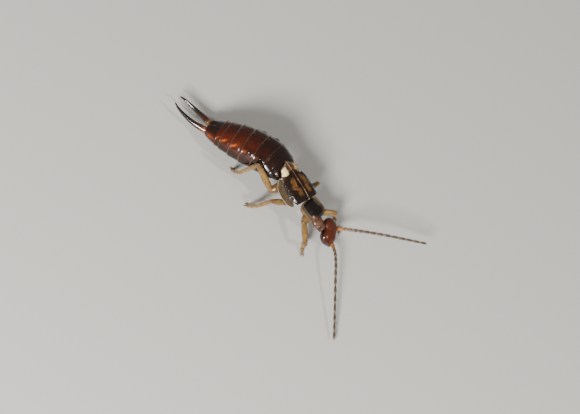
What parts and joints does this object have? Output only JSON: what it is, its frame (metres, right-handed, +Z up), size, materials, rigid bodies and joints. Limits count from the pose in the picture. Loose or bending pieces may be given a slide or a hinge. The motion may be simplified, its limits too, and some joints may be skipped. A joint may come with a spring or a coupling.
{
  "type": "earwig",
  "caption": "Still, life-size earwig with spread feelers, short wing covers, a long ringed hind body and curved forceps, resting on its feet.",
  "frame": {"origin": "on the floor, under the middle of the box round the whole animal", "axes": "+X towards the head, along the thorax; +Y towards the animal's left; +Z up"},
  "size_m": [0.0212, 0.0128, 0.0036],
  "materials": {
    "head_cuticle": "polished mahogany brown cuticle",
    "mouthpart_cuticle": "amber brown cuticle",
    "eye": "black faceted lens",
    "feeler_cuticle": "grey-brown, finely haired cuticle with pale joints",
    "neck_plate_cuticle": "blackish brown cuticle with paler, clearer side margins",
    "wing_cover_cuticle": "blackish brown, leathery cuticle with caramel patches",
    "folded_wing": "cream and tan folded wing",
    "hind_body_cuticle": "polished dark mahogany cuticle",
    "forceps_cuticle": "highly polished black-brown cuticle, amber at the root",
    "leg_cuticle": "straw-brown, finely haired cuticle"
  },
  "bodies": {
    "root": {"head": "head_cuticle", "mouthparts": "mouthpart_cuticle", "neck": "mouthpart_cuticle", "eye_left": "eye", "eye_right": "eye", "antenna_left": "feeler_cuticle", "antenna_right": "feeler_cuticle", "pronotum": "neck_plate_cuticle", "prothorax": "leg_cuticle", "thorax": "neck_plate_cuticle", "tegmen_left": "wing_cover_cuticle", "tegmen_right": "wing_cover_cuticle", "wing_tip_left": "folded_wing", "wing_tip_right": "folded_wing", "abdomen": "hind_body_cuticle", "last_segment": "hind_body_cuticle", "forceps_left": "forceps_cuticle", "forceps_right": "forceps_cuticle", "leg_front_right": "leg_cuticle", "leg_front_left": "leg_cuticle", "leg_middle_right": "leg_cuticle", "leg_middle_left": "leg_cuticle", "leg_hind_right": "leg_cuticle", "leg_hind_left": "leg_cuticle"}
  },
  "joints": []
}
